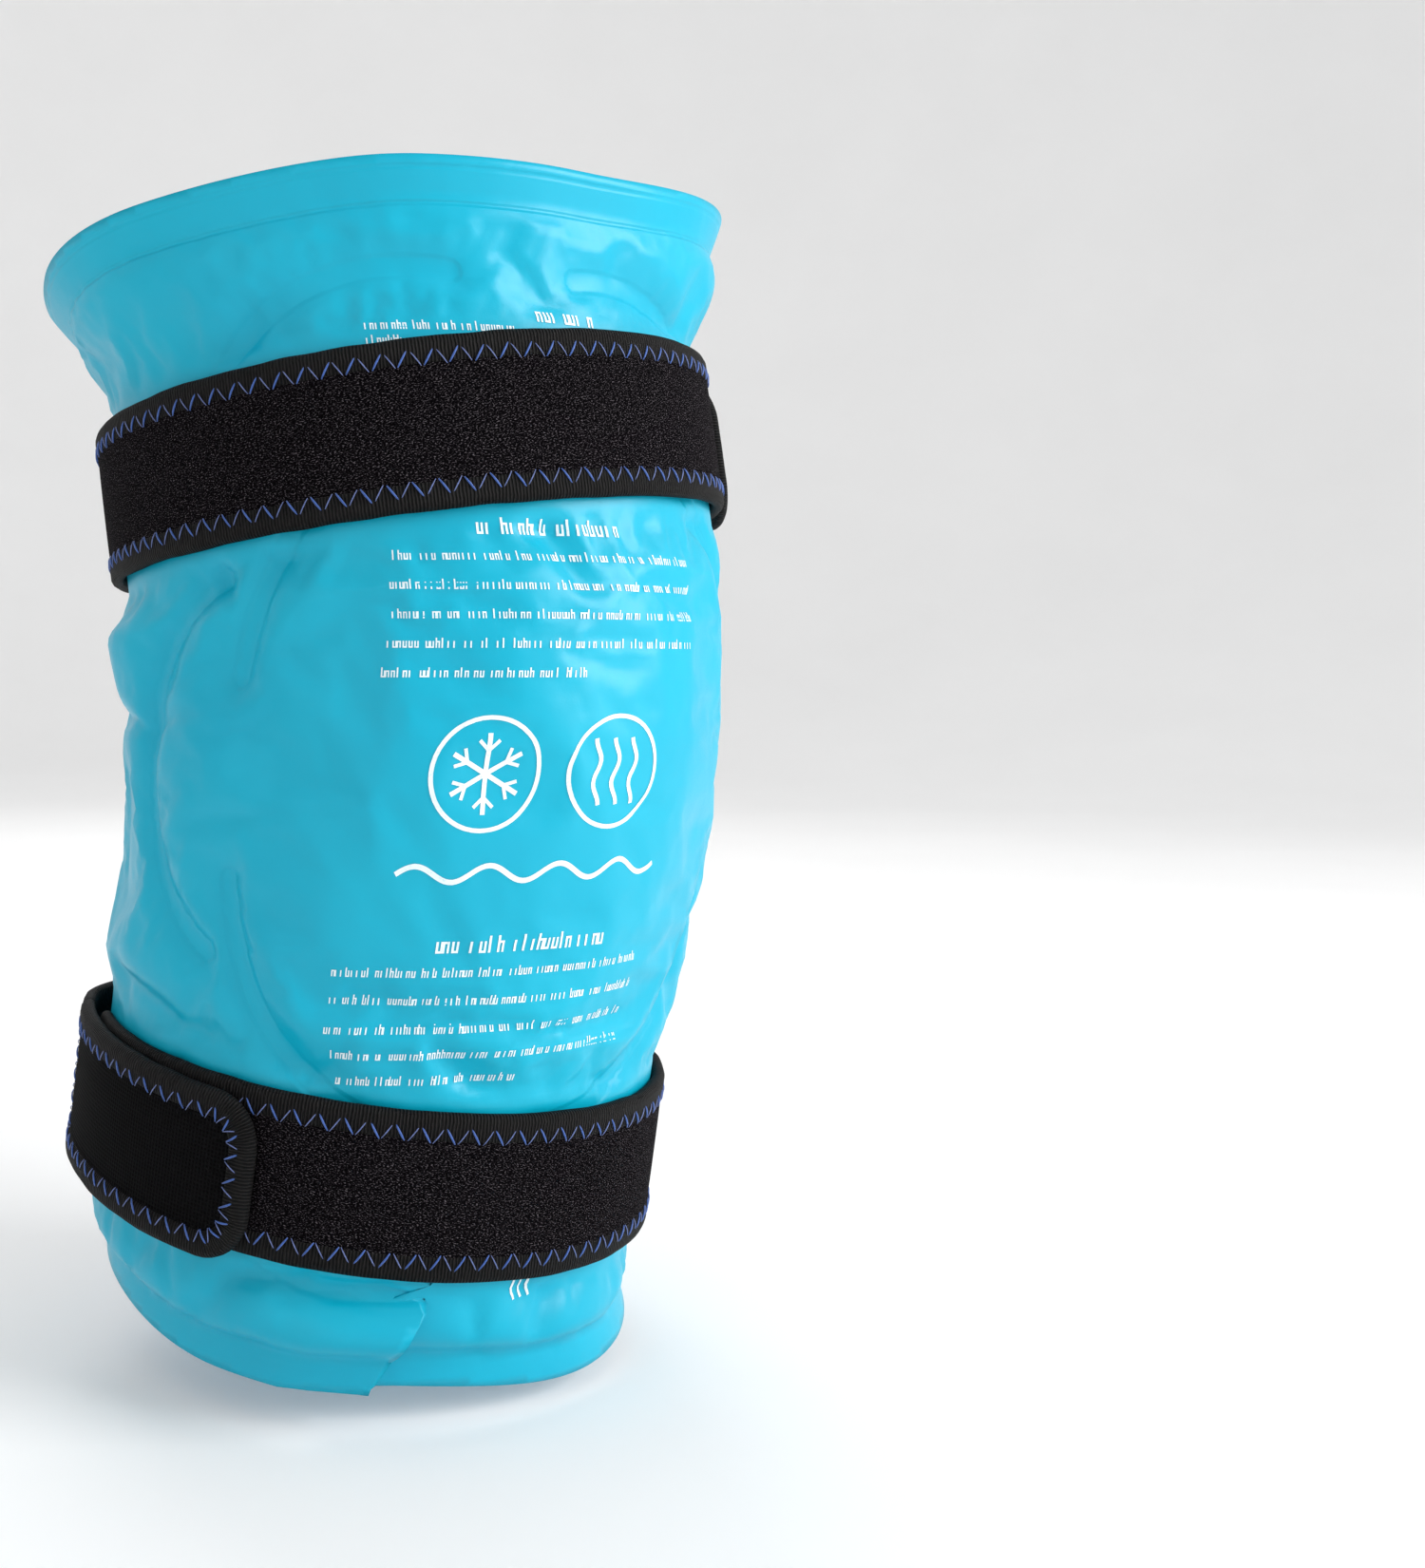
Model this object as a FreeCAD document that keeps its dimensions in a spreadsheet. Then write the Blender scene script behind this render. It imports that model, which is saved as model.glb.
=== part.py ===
"""Cold compression wrap for a knee: a gel pack closed round the leg by two hook-and-loop straps.

The frame is that of the leg it is worn on: +Z up along the leg, -Y towards the kneecap, origin on the
leg's line at the middle of the pack's height. Lengths are in millimetres, angles in degrees.
Angle 0 is the front and it grows towards +X, so 90 is the +X side and 180 the back of the leg.
"""

import FreeCAD, Part

import math
import os

from FreeCAD import Placement, Rotation, Vector

DOC = FreeCAD.newDocument("cold_compression_wrap")
SHEET = DOC.addObject("Spreadsheet::Sheet", "Sizes")

SIZES = {
    # the pack, laid round the leg
    "pack_height": 280.0,
    "front_reach": 95.0,
    "top_edge_bow": 319.0,
    "bottom_edge_bow": 456.0,
    "rim_seam": 9.0,
    "film": 1.0,
    "side_seam_y": 18.0,
    "side_seam_width": 3.0,
    # inside radius of the pack and its thickness, from the top rim down
    "rim_top_z": 138.0,
    "rim_top_radius": 83.0,
    "rim_thickness": 3.6,
    "upper_radius": 69.5,
    "upper_thickness": 8.0,
    "knee_radius": 67.5,
    "knee_thickness": 11.0,
    "knee_forward": 18.0,
    "lower_radius": 63.5,
    "lower_thickness": 7.5,
    "rim_bottom_z": 142.0,
    "rim_bottom_radius": 66.0,
    "rim_forward": 3.0,
    "rim_top_side": -6.0,
    "rim_bottom_side": -10.0,
    # the weld ring round the kneecap
    "ring_half_width": 60.0,
    "ring_half_height": 82.0,
    "ring_weld": 4.0,
    "ring_gate": 16.0,
    # the four ears and their strap slots
    "ear_root_x": 72.0,
    "ear_reach": 34.0,
    "ear_half_height": 46.0,
    "upper_ear_z": 74.0,
    "lower_ear_z": 80.0,
    "waist_x": 54.5,
    "waist_top": 55.0,
    "waist_bottom": 60.0,
    "slot_angle": 130.0,
    "slot_width": 9.0,
    "slot_length": 54.0,
    "slot_reach": 24.0,
    # the straps
    "strap_width": 39.0,
    "strap_core": 2.4,
    "strap_skin": 0.5,
    "tape_wall": 0.4,
    "tape_cover": 6.0,
    "strap_lift": 0.3,
    "strap_zone": 28.0,
    "upper_strap_z": 75.0,
    "lower_strap_z": 88.0,
    "upper_strap_forward": 12.0,
    "lower_strap_forward": 11.0,
    "upper_strap_side": 1.0,
    "lower_strap_side": -9.0,
    "tilt_side": 0.09,
    "tilt_front": 0.10,
    "dive_before": 7.0,
    "dive_after": 3.0,
    "lap_rise": 9.0,
    "thread_width": 2.6,
    "thread_depth": 0.3,
    "tab_corner": 12.0,
    "hinge_gap": 0.4,
}
for row, (alias, value) in enumerate(SIZES.items(), start=1):
    SHEET.set(f"A{row}", alias)
    SHEET.set(f"B{row}", str(value))
    SHEET.setAlias(f"B{row}", alias)
DOC.recompute()

# Where each strap starts, leaves its tab hinge and ends, as angles along its own run.
# A run goes once round the leg, dives through both slots behind it, and ends on top of its own start.
UPPER_RUN = {"start": -107.0, "hinge": 250.0, "end": 293.0, "side": -1}
LOWER_RUN = {"start": -98.0, "hinge": 254.0, "end": 315.0, "side": 1}

# How far construction blocks reach, well past every surface they cut.
BLOCK = 240.0
RIM_SPARE = 4.0

NODES = {}


def size(alias):
    return SHEET.get(alias)


def add(kind, name, **expressions):
    """A document object whose properties are bound to the sheet."""
    made = DOC.addObject(kind, name)
    for prop, expression in expressions.items():
        made.setExpression(prop.replace("__", "."), expression)
    return made


def chain(kind, name, first, *others):
    """Booleans one after another: the first object with each of the others in turn."""
    made = first
    for index, other in enumerate(others, start=1):
        step = DOC.addObject(kind, name if index == len(others) else f"{name}_{index}")
        step.Base = made
        step.Tool = other
        step.Refine = False
        made = step
    return made


def fuse(name, *objects):
    made = DOC.addObject("Part::MultiFuse", name)
    made.Shapes = list(objects)
    made.Refine = False
    return made


def node(made, label):
    made.Label = label
    NODES[label] = made
    return made


# ---------------------------------------------------------------- frames of the two strap rings


def ring_frame(word, sign):
    """The placement of a strap ring: its own z axis leans as the strap does."""
    axis = Vector(-sign * size("tilt_side"), sign * size("tilt_front"), 1)
    centre = Vector(
        size(f"{word}_strap_side"), -size(f"{word}_strap_forward"), sign * size(f"{word}_strap_z")
    )
    return Placement(centre, Rotation(Vector(0, 0, 1), axis))


UPPER_RING = ring_frame("upper", 1)
LOWER_RING = ring_frame("lower", -1)


# ---------------------------------------------------------------- the pack's layers


def station(name, radius, placement):
    """One round section of the pack: a circle whose radius is bound to the sheet."""
    circle = add("Part::Circle", name, Radius=radius)
    circle.Placement = placement
    return circle


def along(frame, distance):
    return frame.multiply(Placement(Vector(0, 0, distance), Rotation()))


def skin(name, offset):
    """A solid as wide as the pack's inner surface plus an offset, which may use `thick`."""
    zone, forward = size("strap_zone"), size("rim_forward")
    top_level = size("rim_top_z") + RIM_SPARE
    level = Placement(Vector(0, -size("knee_forward"), 0), Rotation())
    top = Placement(Vector(size("rim_top_side"), -forward, top_level), Rotation())
    bottom = Placement(Vector(size("rim_bottom_side"), -forward, -size("rim_bottom_z")), Rotation())
    rows = [
        ("rim_top_radius", "rim_thickness", top),
        ("upper_radius", "upper_thickness", along(UPPER_RING, zone)),
        ("upper_radius", "upper_thickness", along(UPPER_RING, -zone)),
        ("knee_radius", "knee_thickness", level),
        ("lower_radius", "lower_thickness", along(LOWER_RING, zone)),
        ("lower_radius", "lower_thickness", along(LOWER_RING, -zone)),
        ("rim_bottom_radius", "rim_thickness", bottom),
    ]
    sections = []
    for index, (radius, thick, place) in enumerate(rows):
        words = f"Sizes.{radius} + " + offset.replace("thick", f"Sizes.{thick}")
        sections.append(station(f"{name}_{index}", words, place))
    loft = DOC.addObject("Part::Loft", name)
    loft.Sections = sections
    loft.Solid = True
    loft.Ruled = True
    return loft


leg = skin("leg", "0")
lining_back = skin("lining_back", "Sizes.film")
flange_back = skin("flange_back", "2 * Sizes.film")
gel_back = skin("gel_back", "thick - Sizes.film")
pack_front = skin("pack_front", "thick")


def rim_cylinder(name, radius, level, inset):
    """A long cylinder across the leg whose curve is the pack's top or bottom edge."""
    made = add("Part::Cylinder", name, Radius=f"Sizes.{radius} - ({inset})")
    made.Height = BLOCK
    made.Placement = Placement(
        Vector(-BLOCK / 2, -size("front_reach"), level), Rotation(Vector(0, 1, 0), 90)
    )
    return made


def edges(name, inset):
    """The space between the pack's top and bottom edges, moved in by an inset."""
    half = size("pack_height") / 2
    top = rim_cylinder(f"{name}_top", "top_edge_bow", half - size("top_edge_bow"), inset)
    low = rim_cylinder(f"{name}_low", "bottom_edge_bow", size("bottom_edge_bow") - half, inset)
    return chain("Part::Common", name, top, low)


def front_block(name, back):
    """Everything in front of a vertical plane."""
    made = add("Part::Box", name, Width=f"{BLOCK} + {back}")
    made.Length = 2 * BLOCK
    made.Height = 2 * BLOCK
    made.Placement = Placement(Vector(-BLOCK, -BLOCK, -BLOCK), Rotation())
    return made


def pushed_oval(name, centre, half_width, half_height):
    """An upright oval seen from the front, pushed through half a block along +Y."""
    upright = Rotation(Vector(0, 0, 1), Vector(1, 0, 0), Vector(0, -1, 0), "ZXY")
    oval = add("Part::Ellipse", f"{name}_oval", MajorRadius=half_height, MinorRadius=half_width)
    oval.Placement = Placement(centre, upright)
    push = DOC.addObject("Part::Extrusion", name)
    push.Base = oval
    push.DirMode = "Custom"
    push.Dir = Vector(0, 1, 0)
    push.LengthFwd = BLOCK / 2
    push.Solid = True
    return push


def ear(name, side, word, sign):
    """One ear's outline, from the leg's middle plane back."""
    middle = size(f"{word}_strap_side")
    centre = Vector(middle + side * size("ear_root_x"), 0, sign * size(f"{word}_ear_z"))
    return pushed_oval(name, centre, "Sizes.ear_reach", "Sizes.ear_half_height")


def waist(name, side):
    """The strip that joins a pair of ears behind the side seam."""
    made = add(
        "Part::Box",
        name,
        Length="Sizes.front_reach - Sizes.waist_x",
        Width="Sizes.front_reach",
        Height="Sizes.waist_top + Sizes.waist_bottom",
    )
    x = size("waist_x") if side > 0 else -size("front_reach")
    made.Placement = Placement(Vector(x, 0, -size("waist_bottom")), Rotation())
    return made


outline_parts = [front_block("ahead_of_seam", "Sizes.side_seam_y")]
for side, word in ((1, "right"), (-1, "left")):
    outline_parts.append(waist(f"waist_{word}", side))
    outline_parts.append(ear(f"ear_upper_{word}", side, "upper", 1))
    outline_parts.append(ear(f"ear_lower_{word}", side, "lower", -1))
outline = fuse("outline", *outline_parts)


def slot(name, ring, side, radius):
    """A strap slot with round ends, through an ear and square to it."""
    angle = math.radians(side * size("slot_angle"))
    reach = size("slot_reach")
    out = Vector(math.sin(angle), -math.cos(angle), 0)
    turn = Rotation(Vector(0, 0, 1), math.degrees(angle))
    base = ring.multiply(Placement(out * (size(radius) - reach / 2), turn))
    half = (size("slot_length") - size("slot_width")) / 2
    box = add(
        "Part::Box",
        f"{name}_box",
        Length="Sizes.slot_width",
        Width="Sizes.slot_reach",
        Height="Sizes.slot_length - Sizes.slot_width",
    )
    corner = Vector(-size("slot_width") / 2, -reach, -half)
    box.Placement = base.multiply(Placement(corner, Rotation()))
    ends = []
    for index, level in enumerate((-half, half)):
        end = add(
            "Part::Cylinder",
            f"{name}_end_{index}",
            Radius="Sizes.slot_width / 2",
            Height="Sizes.slot_reach",
        )
        stand = Rotation(Vector(1, 0, 0), 90)
        end.Placement = base.multiply(Placement(Vector(0, 0, level), stand))
        ends.append(end)
    return fuse(name, box, *ends)


slots = fuse(
    "slots",
    slot("slot_upper_right", UPPER_RING, 1, "upper_radius"),
    slot("slot_upper_left", UPPER_RING, -1, "upper_radius"),
    slot("slot_lower_right", LOWER_RING, 1, "lower_radius"),
    slot("slot_lower_left", LOWER_RING, -1, "lower_radius"),
)


def ring_oval(name, grow):
    centre = Vector(0, -BLOCK / 2, 0)
    half_width = f"Sizes.ring_half_width + {grow}"
    half_height = f"Sizes.ring_half_height + {grow}"
    return pushed_oval(name, centre, half_width, half_height)


def gate(name, length, height):
    """A gap in the weld ring, where gel passes from the middle to the rim."""
    made = add("Part::Box", name, Width=f"{BLOCK / 2}", Length=length, Height=height)
    made.setExpression(".Placement.Base.x", f"-({length}) / 2")
    made.setExpression(".Placement.Base.y", f"-{BLOCK / 2}")
    made.setExpression(".Placement.Base.z", f"-({height}) / 2")
    return made


def weld_ring():
    """The weld line round the kneecap, open at four gates."""
    outer = ring_oval("ring_outer", "Sizes.ring_weld / 2")
    inner = ring_oval("ring_inner", "-Sizes.ring_weld / 2")
    upright = gate("gate_upright", "Sizes.ring_gate", f"{BLOCK}")
    level = gate("gate_level", f"{BLOCK}", "Sizes.ring_gate")
    return chain("Part::Cut", "ring", outer, inner, upright, level)


full_edges = edges("full_edges", "0")
cell_edges = edges("cell_edges", "Sizes.rim_seam - Sizes.film")
gel_edges = edges("gel_edges", "Sizes.rim_seam")


lining = chain("Part::Common", "lining", lining_back, full_edges, outline)
node(chain("Part::Cut", "inner_lining", lining, leg, slots), "inner_lining")

gel_block = chain(
    "Part::Common",
    "gel_block",
    gel_back,
    gel_edges,
    front_block("ahead_of_gel_seam", "Sizes.side_seam_y - Sizes.side_seam_width"),
)
gel_fill = node(chain("Part::Cut", "gel_fill", gel_block, lining_back, weld_ring()), "gel_fill")

cell_block = chain(
    "Part::Common",
    "cell_block",
    pack_front,
    cell_edges,
    front_block("ahead_of_cell_seam", "Sizes.side_seam_y - Sizes.side_seam_width + Sizes.film"),
)
flange = chain("Part::Common", "flange", flange_back, full_edges, outline)
shell_block = fuse("shell_block", cell_block, flange)
node(chain("Part::Cut", "outer_shell", shell_block, lining_back, slots, gel_fill), "outer_shell")


# ---------------------------------------------------------------- the straps


def on_ring(angle, radius, side):
    turn = math.radians(angle)
    return Vector(side * math.sin(turn) * radius, -math.cos(turn) * radius, 0)


def stations(run, outside, behind, lap):
    """The angles at which a run changes radius, and its radius there."""
    slot_in = size("slot_angle")
    slot_out = 360.0 - slot_in
    before, after = size("dive_before"), size("dive_after")
    return [
        (run["start"], outside),
        (slot_in - before, outside),
        (slot_in + after, behind),
        (slot_out - after, behind),
        (slot_out + before, outside),
        (slot_out + before + size("lap_rise"), outside + lap),
        (run["end"], outside + lap),
    ]


def run_line(run, rows, low, high):
    """A strap's middle line from one angle to another, as points with a normal each.

    Where the radius stays the same the line is an arc, and elsewhere it is straight.
    """
    side = run["side"]
    cut = []
    for (a, ra), (b, rb) in zip(rows, rows[1:]):
        first, last = max(a, low), min(b, high)
        if last > first:
            start = ra + (rb - ra) * (first - a) / (b - a)
            stop = ra + (rb - ra) * (last - a) / (b - a)
            cut.append((first, start, last, stop))
    points = [on_ring(cut[0][0], cut[0][1], side)] + [on_ring(c[2], c[3], side) for c in cut]
    arcs = [on_ring((c[0] + c[2]) / 2, c[1], side) if c[1] == c[3] else None for c in cut]

    def way_at(index, end):
        """The direction of stretch `index` at its start (0) or its end (1)."""
        if arcs[index] is None:
            return (points[index + 1] - points[index]).normalize()
        out = points[index + end]
        return Vector(-out.y, out.x, 0).normalize() * side

    normals, mitres = [], []
    for index in range(len(points)):
        ways = []
        if index > 0:
            ways.append(way_at(index - 1, 1))
        if index < len(cut):
            ways.append(way_at(index, 0))
        outs = [Vector(way.y, -way.x, 0) * side for way in ways]
        middle = sum(outs[1:], outs[0]).normalize()
        normals.append(middle)
        mitres.append(1.0 / middle.dot(outs[0]))
    return {"points": points, "normals": normals, "mitres": mitres, "arcs": arcs, "side": side}


def moved_out(line, offset, level):
    """The edges of a run's line moved out by an offset, at a level."""
    lift = Vector(0, 0, level)
    corners = [
        p + n * offset * m + lift for p, n, m in zip(line["points"], line["normals"], line["mitres"])
    ]
    shapes = []
    for index, middle in enumerate(line["arcs"]):
        first, last = corners[index], corners[index + 1]
        if middle is None:
            shapes.append(Part.LineSegment(first, last))
        else:
            out = Vector(middle).normalize() * offset
            shapes.append(Part.Arc(first, middle + out + lift, last))
    return shapes, corners


def ribbon(line, inner, outer, low, high):
    """A solid band: the line moved out by two offsets, closed, and raised between two levels."""
    inside, inside_corners = moved_out(line, inner, low)
    outside, outside_corners = moved_out(line, outer, low)
    caps = [
        Part.LineSegment(inside_corners[0], outside_corners[0]),
        Part.LineSegment(inside_corners[-1], outside_corners[-1]),
    ]
    shapes = [part.toShape() for part in [*inside, *outside, *caps]]
    outline_wire = Part.Wire(Part.__sortEdges__(shapes))
    return Part.Face(outline_wire).extrude(Vector(0, 0, high - low))


def channel(line, half, inner, outer):
    """Edge tape: a U over a band's upper or lower edge, made as two lips and a cap."""
    cover, tape = size("tape_cover"), size("tape_wall")
    pieces = []
    for sign in (1, -1):
        far = sign * half
        near = sign * (half - cover)
        shelf = sign * (half - tape)
        whole = ribbon(line, inner - tape, outer + tape, min(far, near), max(far, near))
        core = ribbon(line, inner, outer, min(near, shelf), max(near, shelf))
        pieces.append(whole.cut(core))
    return pieces


def corner_cutters(line, half):
    """What a tab loses at its two free corners, so that they are round."""
    end, normal = line["points"][-1], line["normals"][-1]
    way = Vector(-normal.y, normal.x, 0) * line["side"]
    radius = size("tab_corner")
    through = normal * 2 * radius
    cutters = []
    for sign in (1, -1):
        up = Vector(0, 0, sign * 2 * radius)
        centre = end - way * radius + Vector(0, 0, sign * (half - radius)) - normal * radius
        across = way * 2 * radius
        square = Part.makePolygon([centre, centre + across, centre + across + up, centre + up, centre])
        block = Part.Face(square).extrude(through)
        post = Part.makeCylinder(radius, 2 * radius, centre, normal)
        cutters.append(block.cut(post))
    return cutters


def feature(label, solids, ring):
    made = DOC.addObject("Part::Feature", label)
    made.Shape = solids[0] if len(solids) == 1 else Part.makeCompound(solids)
    made.Placement = ring
    return node(made, label)


def thread_rows(line, face, half):
    """The two rows of zigzag thread near a band's edges, as flat strips of their outer shape."""
    wide, deep = size("thread_width"), size("thread_depth")
    inset = size("tape_cover") - wide
    rows = []
    for sign in (1, -1):
        far, near = sign * (half - inset), sign * (half - inset - wide)
        rows.append(ribbon(line, face, face + deep, min(far, near), max(far, near)))
    return rows


def rounded(solid, cutters):
    for cutter in cutters:
        solid = solid.cut(cutter)
    return solid


def tab_tape(line, window_line, half, deep, fillings):
    """The tape round a tab's three free edges, on both faces."""
    cover = size("tape_cover")
    frame = rounded(ribbon(line, -deep, deep, -half, half), corner_cutters(line, half))
    window = ribbon(window_line, -2 * deep, 2 * deep, cover - half, half - cover)
    for filling in [*fillings, window]:
        frame = frame.cut(filling)
    return frame.Solids


def strap(word, run, ring, radius, thick):
    """All of one strap's pieces: the laminated band, its edge tape, its thread and its hook tab."""
    core, film, tape = size("strap_core") / 2, size("strap_skin"), size("tape_wall")
    half, lift, thread = size("strap_width") / 2, size("strap_lift"), size("thread_depth")
    shelf = half - tape
    outside = size(radius) + size(thick) + lift + core + tape
    behind = size(radius) - lift - core - tape - thread
    rows = stations(run, outside, behind, 2 * (core + tape) + thread + lift)

    def turn(length):
        """The angle that a length takes up on the outside of the wrap."""
        return math.degrees(length / outside)

    tab_start = run["hinge"] + turn(size("hinge_gap"))
    window_end = run["end"] - turn(size("tape_cover"))
    band = run_line(run, rows, run["start"], run["hinge"] - turn(size("hinge_gap")))
    tab = run_line(run, rows, tab_start, run["end"] - turn(tape))
    edge = run_line(run, rows, tab_start, run["end"])
    window = run_line(run, rows, run["hinge"] - turn(tape), window_end)
    stitched = run_line(run, rows, tab_start + turn(tape), window_end - turn(tape))

    feature(f"{word}_strap_foam_core", [ribbon(band, film - core, core - film, -shelf, shelf)], ring)
    feature(f"{word}_strap_loop_face", [ribbon(band, core - film, core, -shelf, shelf)], ring)
    feature(f"{word}_strap_back_face", [ribbon(band, -core, film - core, -shelf, shelf)], ring)
    feature(f"{word}_strap_edge_tape", channel(band, half, -core, core), ring)
    feature(f"{word}_strap_thread", thread_rows(band, core + tape, half), ring)

    corners = corner_cutters(tab, shelf)
    hook = rounded(ribbon(tab, -core, -film, -shelf, shelf), corners)
    panel = rounded(ribbon(tab, -film, core, -shelf, shelf), corners)
    feature(f"{word}_tab_hook_patch", [hook], ring)
    feature(f"{word}_tab_panel", [panel], ring)
    feature(f"{word}_tab_edge_tape", tab_tape(edge, window, half, core + tape, [hook, panel]), ring)
    feature(f"{word}_tab_thread", thread_rows(stitched, core + tape, half), ring)


def check_document():
    """Stops the build if an object failed or a sub-part's shape isn't sound."""
    for made in DOC.Objects:
        if {"Invalid", "Error"} & set(made.State):
            raise RuntimeError(f"{made.Name} failed: {made.State}")
    for label, made in NODES.items():
        shape = made.Shape
        if shape.isNull() or not shape.isValid() or not shape.Solids:
            raise RuntimeError(f"{label} has no sound shape")


strap("upper", UPPER_RUN, UPPER_RING, "upper_radius", "upper_thickness")
strap("lower", LOWER_RUN, LOWER_RING, "lower_radius", "lower_thickness")
DOC.recompute()
check_document()

os.makedirs("parts", exist_ok=True)
for label, made in NODES.items():
    made.Shape.exportStep(f"parts/{label}.step")
    print(f"{label}: {len(made.Shape.Solids)} solids, {made.Shape.Volume / 1000:.2f} cm3")
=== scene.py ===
"""Looks of the cold compression wrap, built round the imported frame.

The frame is the leg's: +Z up along it, -Y towards the kneecap. Lengths are worked out in millimetres and
turned into metres as each mesh is made. Angle 0 is the front and it grows towards +X.
"""

import math
import random

import bmesh
import bpy
import numpy as np
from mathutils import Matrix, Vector
from mathutils.bvhtree import BVHTree
from mathutils.geometry import delaunay_2d_cdt


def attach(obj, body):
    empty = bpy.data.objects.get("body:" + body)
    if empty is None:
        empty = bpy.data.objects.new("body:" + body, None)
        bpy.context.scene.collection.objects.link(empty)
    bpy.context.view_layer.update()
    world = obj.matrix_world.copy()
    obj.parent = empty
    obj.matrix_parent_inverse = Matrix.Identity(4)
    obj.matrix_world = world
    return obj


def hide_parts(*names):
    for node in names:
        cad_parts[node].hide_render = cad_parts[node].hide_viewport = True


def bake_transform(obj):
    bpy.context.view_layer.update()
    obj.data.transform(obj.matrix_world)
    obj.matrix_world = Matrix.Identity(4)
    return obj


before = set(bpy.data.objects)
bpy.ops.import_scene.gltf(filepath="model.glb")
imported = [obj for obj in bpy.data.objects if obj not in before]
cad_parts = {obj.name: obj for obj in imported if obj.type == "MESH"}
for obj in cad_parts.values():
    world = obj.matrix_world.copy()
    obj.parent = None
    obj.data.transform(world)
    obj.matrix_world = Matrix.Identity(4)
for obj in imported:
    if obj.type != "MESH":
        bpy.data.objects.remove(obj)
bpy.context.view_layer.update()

MM = 0.001


def smoothstep(x):
    x = np.clip(x, 0.0, 1.0)
    return x * x * (3 - 2 * x)


def soft_noise(x, y, seed):
    """Smooth value noise between -1 and 1, with features about one unit across."""
    table = np.random.RandomState(seed).uniform(-1, 1, (64, 64))
    x0, y0 = np.floor(x).astype(int), np.floor(y).astype(int)
    fx, fy = smoothstep(x - x0), smoothstep(y - y0)

    def corner(i, j):
        return table[(x0 + i) % 64, (y0 + j) % 64]

    low = corner(0, 0) * (1 - fx) + corner(1, 0) * fx
    high = corner(0, 1) * (1 - fx) + corner(1, 1) * fx
    return low * (1 - fy) + high * fy


def path_steps(points):
    """How far along a line each of its points lies."""
    return np.r_[0, np.cumsum(np.linalg.norm(np.diff(points, axis=0), axis=1))]


def along_path(at, steps, values):
    """Pairs of values that are known at some steps along a line, read off at others."""
    return np.column_stack([np.interp(at, steps, values[:, i]) for i in (0, 1)])


def unit(ways):
    return ways / np.linalg.norm(ways, axis=1)[:, None]


def linked(name, data):
    """A new object in the scene."""
    made = bpy.data.objects.new(name, data)
    bpy.context.scene.collection.objects.link(made)
    return made


# ---- camera, light and floor

AZIMUTH = math.radians(-25.0)
EYE_DISTANCE = 480
EYE_HEIGHT = 26


def add_camera():
    data = bpy.data.cameras.new("camera")
    data.lens = 40.4
    data.shift_x = 0.208
    data.shift_y = -0.076
    data.clip_start = 0.01
    camera = linked("camera", data)
    spot = (EYE_DISTANCE * math.sin(AZIMUTH), -EYE_DISTANCE * math.cos(AZIMUTH), EYE_HEIGHT)
    camera.location = Vector(spot) * MM
    camera.rotation_euler = (math.pi / 2, 0, AZIMUTH)
    bpy.context.scene.camera = camera


def add_light(name, place, power, size):
    data = bpy.data.lights.new(name, "AREA")
    data.energy = power
    data.size = size
    lamp = linked(name, data)
    lamp.location = place
    lamp.rotation_euler = (-Vector(place)).to_track_quat("-Z", "Y").to_euler()


def add_stage(material):
    """A pale floor just under the wrap that curves up into a back wall all round."""
    level, radius, bend, wall = -0.149, 3.0, 1.2, 4.0
    bend_steps, sides = 8, 96
    rings = [(radius - bend, level)]
    for step in range(1, bend_steps + 1):
        turn = math.pi / 2 * step / bend_steps
        rings.append((radius - bend + bend * math.sin(turn), level + bend * (1 - math.cos(turn))))
    rings.append((radius, level + wall))
    turns = np.linspace(0, 2 * math.pi, sides + 1)[:-1]
    built = bmesh.new()
    rows = [[built.verts.new((r * math.cos(a), r * math.sin(a), z)) for a in turns] for r, z in rings]
    centre = built.verts.new((0, 0, level))
    for i in range(sides):
        built.faces.new((centre, rows[0][i], rows[0][(i + 1) % sides]))
        for low, high in zip(rows, rows[1:]):
            built.faces.new((low[i], high[i], high[(i + 1) % sides], low[(i + 1) % sides]))
    mesh_object("studio", built, material)


def mesh_object(name, built, material):
    for face in built.faces:
        face.smooth = True
    bmesh.ops.recalc_face_normals(built, faces=built.faces)
    data = bpy.data.meshes.new(name)
    built.to_mesh(data)
    built.free()
    data.materials.append(material)
    return linked(name, data)


# ---- materials


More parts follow.
